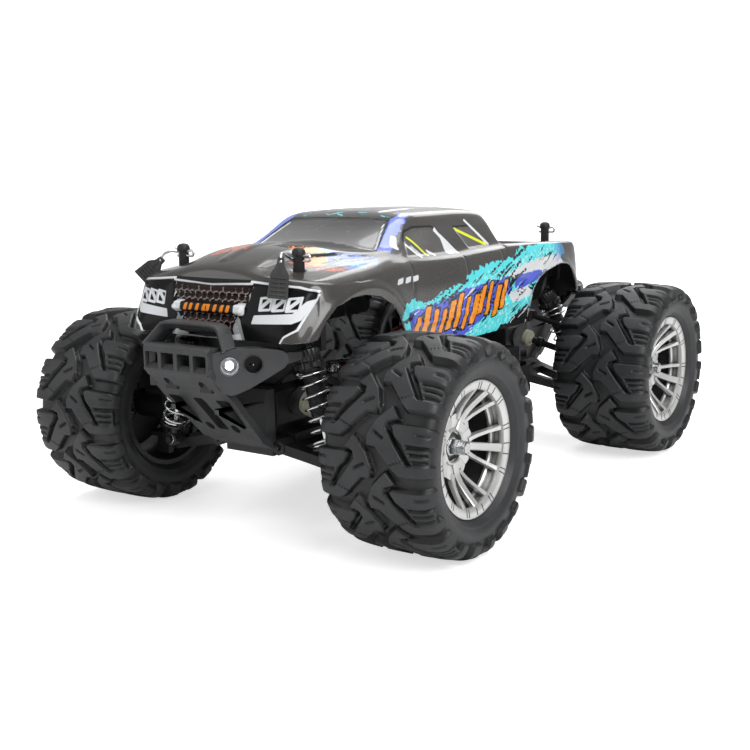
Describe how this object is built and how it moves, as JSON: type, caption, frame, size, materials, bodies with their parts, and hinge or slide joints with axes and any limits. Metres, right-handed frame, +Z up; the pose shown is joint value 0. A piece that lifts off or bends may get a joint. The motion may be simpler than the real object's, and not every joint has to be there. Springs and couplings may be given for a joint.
{
  "type": "radio-controlled monster truck",
  "caption": "Toy off-road truck with a painted pickup shell over a plastic chassis: sprung arms on every wheel, steered front wheels, coupled drive line and large soft tyres.",
  "frame": {"origin": "on the ground under the middle of the wheelbase, on the truck's middle plane", "axes": "+Y towards the truck's rear, so the front faces -Y; +Z up; +X towards the truck's left side"},
  "size_m": [0.214, 0.312, 0.1318],
  "materials": {
    "tyre_rubber": "matte moulded rubber",
    "satin_rim": "satin silver plated plastic",
    "steel": "bright turned steel",
    "spring_steel": "plated wire",
    "black_plastic": "fine-grained moulded plastic",
    "nylon": "smooth moulded nylon",
    "brass": "machined brass",
    "motor_can": "plated can",
    "battery_wrap": "shrink-wrap film",
    "painted_shell": "clear sheet painted from inside, abstract colour splashes"
  },
  "bodies": {
    "chassis": {"chassis_tub": "black_plastic", "body_shell": "painted_shell", "front_bumper": "black_plastic", "rear_bumper": "black_plastic", "front_gearbox": "black_plastic", "rear_gearbox": "black_plastic", "front_shock_tower": "black_plastic", "rear_shock_tower": "black_plastic", "motor": "motor_can", "battery": "battery_wrap", "steering_servo": "black_plastic"},
    "arm_fl": {"lower_arm_fl": "black_plastic"},
    "link_fl": {"upper_link_fl": "black_plastic"},
    "hub_fl": {"c_hub_fl": "nylon"},
    "shock_body_fl": {"shock_body_fl": "black_plastic", "spring_fl": "spring_steel"},
    "shock_rod_fl": {"shock_rod_fl": "steel"},
    "shaft_fl": {"driveshaft_fl": "steel"},
    "wheel_fl": {"tyre_fl": "tyre_rubber", "rim_fl": "satin_rim", "axle_fl": "steel"},
    "knuckle_fl": {"knuckle_fl": "nylon"},
    "arm_fr": {"lower_arm_fr": "black_plastic"},
    "link_fr": {"upper_link_fr": "black_plastic"},
    "hub_fr": {"c_hub_fr": "nylon"},
    "shock_body_fr": {"shock_body_fr": "black_plastic", "spring_fr": "spring_steel"},
    "shock_rod_fr": {"shock_rod_fr": "steel"},
    "shaft_fr": {"driveshaft_fr": "steel"},
    "wheel_fr": {"tyre_fr": "tyre_rubber", "rim_fr": "satin_rim", "axle_fr": "steel"},
    "knuckle_fr": {"knuckle_fr": "nylon"},
    "arm_rl": {"lower_arm_rl": "black_plastic"},
    "link_rl": {"upper_link_rl": "black_plastic"},
    "hub_rl": {"rear_hub_rl": "nylon"},
    "shock_body_rl": {"shock_body_rl": "black_plastic", "spring_rl": "spring_steel"},
    "shock_rod_rl": {"shock_rod_rl": "steel"},
    "shaft_rl": {"driveshaft_rl": "steel"},
    "wheel_rl": {"tyre_rl": "tyre_rubber", "rim_rl": "satin_rim", "axle_rl": "steel"},
    "arm_rr": {"lower_arm_rr": "black_plastic"},
    "link_rr": {"upper_link_rr": "black_plastic"},
    "hub_rr": {"rear_hub_rr": "nylon"},
    "shock_body_rr": {"shock_body_rr": "black_plastic", "spring_rr": "spring_steel"},
    "shock_rod_rr": {"shock_rod_rr": "steel"},
    "shaft_rr": {"driveshaft_rr": "steel"},
    "wheel_rr": {"tyre_rr": "tyre_rubber", "rim_rr": "satin_rim", "axle_rr": "steel"},
    "steering_link": {"steering_link": "black_plastic"},
    "servo_saver": {"servo_saver": "black_plastic"},
    "tie_rod_fl": {"tie_rod_fl": "steel"},
    "tie_rod_fr": {"tie_rod_fr": "steel"},
    "centre_line": {"centre_shaft": "steel", "spur_gear": "nylon"},
    "pinion": {"pinion_gear": "brass"}
  },
  "joints": [
    {"name": "arm_fl", "type": "hinge", "parent": "chassis", "child": "arm_fl", "pos_m": [0.017, -0.0985, 0.0375], "axis": [0, -1, 0], "range_deg": [-8, 10], "stiffness_Nm_per_rad": 1.2, "springref_deg": -5.73},
    {"name": "upper_link_fl", "type": "hinge", "parent": "chassis", "child": "link_fl", "pos_m": [0.023, -0.0985, 0.0675], "axis": [0, -1, 0], "range_deg": [-9, 11]},
    {"name": "hub_fl", "type": "hinge", "parent": "arm_fl", "child": "hub_fl", "pos_m": [0.058, -0.0985, 0.0275], "axis": [0, -1, 0], "range_deg": [-11, 9]},
    {"name": "driveshaft_fl", "type": "hinge", "parent": "chassis", "child": "shaft_fl", "pos_m": [0.023, -0.0985, 0.054], "axis": [0, -1, 0], "range_deg": [-9, 11]},
    {"name": "shock_fl", "type": "hinge", "parent": "chassis", "child": "shock_body_fl", "pos_m": [0.032, -0.1145, 0.084], "axis": [0, -1, 0], "range_deg": [-3, 3]},
    {"name": "shock_stroke_fl", "type": "slide", "parent": "shock_body_fl", "child": "shock_rod_fl", "axis": [0.2425, 0, -0.9701], "range_m": [-0.0055, 0.0045], "deforming": ["spring_fl"]},
    {"name": "steer_left", "type": "hinge", "parent": "hub_fl", "child": "knuckle_fl", "pos_m": [0.064, -0.0985, 0.044], "axis": [0, 0, 1], "range_deg": [-20, 20]},
    {"name": "wheel_fl", "type": "hinge", "parent": "knuckle_fl", "child": "wheel_fl", "pos_m": [0.0815, -0.0985, 0.044], "axis": [1, 0, 0], "continuous": true},
    {"name": "arm_fr", "type": "hinge", "parent": "chassis", "child": "arm_fr", "pos_m": [-0.017, -0.0985, 0.0375], "axis": [0, 1, 0], "range_deg": [-8, 10], "stiffness_Nm_per_rad": 1.2, "springref_deg": -5.73},
    {"name": "upper_link_fr", "type": "hinge", "parent": "chassis", "child": "link_fr", "pos_m": [-0.023, -0.0985, 0.0675], "axis": [0, 1, 0], "range_deg": [-9, 11]},
    {"name": "hub_fr", "type": "hinge", "parent": "arm_fr", "child": "hub_fr", "pos_m": [-0.058, -0.0985, 0.0275], "axis": [0, 1, 0], "range_deg": [-11, 9]},
    {"name": "driveshaft_fr", "type": "hinge", "parent": "chassis", "child": "shaft_fr", "pos_m": [-0.023, -0.0985, 0.054], "axis": [0, 1, 0], "range_deg": [-9, 11]},
    {"name": "shock_fr", "type": "hinge", "parent": "chassis", "child": "shock_body_fr", "pos_m": [-0.032, -0.1145, 0.084], "axis": [0, 1, 0], "range_deg": [-3, 3]},
    {"name": "shock_stroke_fr", "type": "slide", "parent": "shock_body_fr", "child": "shock_rod_fr", "axis": [-0.2425, 0, -0.9701], "range_m": [-0.0055, 0.0045], "deforming": ["spring_fr"]},
    {"name": "steer_right", "type": "hinge", "parent": "hub_fr", "child": "knuckle_fr", "pos_m": [-0.064, -0.0985, 0.044], "axis": [0, 0, 1], "range_deg": [-21, 21]},
    {"name": "wheel_fr", "type": "hinge", "parent": "knuckle_fr", "child": "wheel_fr", "pos_m": [-0.0815, -0.0985, 0.044], "axis": [1, 0, 0], "continuous": true},
    {"name": "arm_rl", "type": "hinge", "parent": "chassis", "child": "arm_rl", "pos_m": [0.017, 0.0985, 0.0375], "axis": [0, -1, 0], "range_deg": [-8, 10], "stiffness_Nm_per_rad": 1.2, "springref_deg": -5.73},
    {"name": "upper_link_rl", "type": "hinge", "parent": "chassis", "child": "link_rl", "pos_m": [0.023, 0.0985, 0.0675], "axis": [0, -1, 0], "range_deg": [-9, 11]},
    {"name": "hub_rl", "type": "hinge", "parent": "arm_rl", "child": "hub_rl", "pos_m": [0.058, 0.0985, 0.0275], "axis": [0, -1, 0], "range_deg": [-11, 9]},
    {"name": "driveshaft_rl", "type": "hinge", "parent": "chassis", "child": "shaft_rl", "pos_m": [0.023, 0.0985, 0.054], "axis": [0, -1, 0], "range_deg": [-9, 11]},
    {"name": "shock_rl", "type": "hinge", "parent": "chassis", "child": "shock_body_rl", "pos_m": [0.027, 0.104, 0.083], "axis": [0, -1, 0], "range_deg": [-3, 3]},
    {"name": "shock_stroke_rl", "type": "slide", "parent": "shock_body_rl", "child": "shock_rod_rl", "axis": [0.3545, 0.1959, -0.9143], "range_m": [-0.0055, 0.0045], "deforming": ["spring_rl"]},
    {"name": "wheel_rl", "type": "hinge", "parent": "hub_rl", "child": "wheel_rl", "pos_m": [0.0815, 0.0985, 0.044], "axis": [1, 0, 0], "continuous": true},
    {"name": "arm_rr", "type": "hinge", "parent": "chassis", "child": "arm_rr", "pos_m": [-0.017, 0.0985, 0.0375], "axis": [0, 1, 0], "range_deg": [-8, 10], "stiffness_Nm_per_rad": 1.2, "springref_deg": -5.73},
    {"name": "upper_link_rr", "type": "hinge", "parent": "chassis", "child": "link_rr", "pos_m": [-0.023, 0.0985, 0.0675], "axis": [0, 1, 0], "range_deg": [-9, 11]},
    {"name": "hub_rr", "type": "hinge", "parent": "arm_rr", "child": "hub_rr", "pos_m": [-0.058, 0.0985, 0.0275], "axis": [0, 1, 0], "range_deg": [-11, 9]},
    {"name": "driveshaft_rr", "type": "hinge", "parent": "chassis", "child": "shaft_rr", "pos_m": [-0.023, 0.0985, 0.054], "axis": [0, 1, 0], "range_deg": [-9, 11]},
    {"name": "shock_rr", "type": "hinge", "parent": "chassis", "child": "shock_body_rr", "pos_m": [-0.027, 0.104, 0.083], "axis": [0, 1, 0], "range_deg": [-3, 3]},
    {"name": "shock_stroke_rr", "type": "slide", "parent": "shock_body_rr", "child": "shock_rod_rr", "axis": [-0.3545, 0.1959, -0.9143], "range_m": [-0.0055, 0.0045], "deforming": ["spring_rr"]},
    {"name": "wheel_rr", "type": "hinge", "parent": "hub_rr", "child": "wheel_rr", "pos_m": [-0.0815, 0.0985, 0.044], "axis": [1, 0, 0], "continuous": true},
    {"name": "steering_slide", "type": "slide", "parent": "chassis", "child": "steering_link", "axis": [1, 0, 0], "range_m": [-0.0052, 0.0052]},
    {"name": "saver", "type": "hinge", "parent": "chassis", "child": "servo_saver", "pos_m": [-0.013, -0.0705, 0.065], "axis": [0, 0, 1], "range_deg": [-21, 21]},
    {"name": "tie_rod_fl", "type": "hinge", "parent": "steering_link", "child": "tie_rod_fl", "pos_m": [0.023, -0.0845, 0.0675], "axis": [0, -1, 0], "range_deg": [-9, 11]},
    {"name": "tie_rod_fr", "type": "hinge", "parent": "steering_link", "child": "tie_rod_fr", "pos_m": [-0.023, -0.0845, 0.0675], "axis": [0, 1, 0], "range_deg": [-9, 11]},
    {"name": "centre_shaft", "type": "hinge", "parent": "chassis", "child": "centre_line", "pos_m": [0, 0, 0.054], "axis": [0, 1, 0], "continuous": true},
    {"name": "pinion", "type": "hinge", "parent": "chassis", "child": "pinion", "pos_m": [-0.018, 0.029, 0.054], "axis": [0, 1, 0], "continuous": true}
  ],
  "couplings": [
    {"joint": "upper_link_fl", "follows": "arm_fl", "ratio": 1},
    {"joint": "hub_fl", "follows": "arm_fl", "ratio": -1},
    {"joint": "driveshaft_fl", "follows": "arm_fl", "ratio": 1},
    {"joint": "shock_fl", "follows": "arm_fl", "ratio": 0.18584},
    {"joint": "shock_stroke_fl", "follows": "arm_fl", "m_per_rad": -0.025998},
    {"joint": "upper_link_fr", "follows": "arm_fr", "ratio": 1},
    {"joint": "hub_fr", "follows": "arm_fr", "ratio": -1},
    {"joint": "driveshaft_fr", "follows": "arm_fr", "ratio": 1},
    {"joint": "shock_fr", "follows": "arm_fr", "ratio": 0.18584},
    {"joint": "shock_stroke_fr", "follows": "arm_fr", "m_per_rad": -0.025998},
    {"joint": "upper_link_rl", "follows": "arm_rl", "ratio": 1},
    {"joint": "hub_rl", "follows": "arm_rl", "ratio": -1},
    {"joint": "driveshaft_rl", "follows": "arm_rl", "ratio": 1},
    {"joint": "shock_rl", "follows": "arm_rl", "ratio": 0.25431},
    {"joint": "shock_stroke_rl", "follows": "arm_rl", "m_per_rad": -0.026515},
    {"joint": "upper_link_rr", "follows": "arm_rr", "ratio": 1},
    {"joint": "hub_rr", "follows": "arm_rr", "ratio": -1},
    {"joint": "driveshaft_rr", "follows": "arm_rr", "ratio": 1},
    {"joint": "shock_rr", "follows": "arm_rr", "ratio": 0.25431},
    {"joint": "shock_stroke_rr", "follows": "arm_rr", "m_per_rad": -0.026515},
    {"joint": "steer_right", "follows": "steer_left", "ratio": 1},
    {"joint": "steering_slide", "follows": "steer_left", "m_per_rad": -0.014},
    {"joint": "saver", "follows": "steer_left", "ratio": -1},
    {"joint": "tie_rod_fl", "follows": "arm_fl", "ratio": 1},
    {"joint": "tie_rod_fr", "follows": "arm_fr", "ratio": 1},
    {"joint": "wheel_fl", "follows": "wheel_rl", "ratio": 1},
    {"joint": "wheel_fr", "follows": "wheel_rl", "ratio": 1},
    {"joint": "wheel_rr", "follows": "wheel_rl", "ratio": 1},
    {"joint": "centre_shaft", "follows": "wheel_rl", "ratio": 3.1667},
    {"joint": "pinion", "follows": "wheel_rl", "ratio": -12.667}
  ]
}
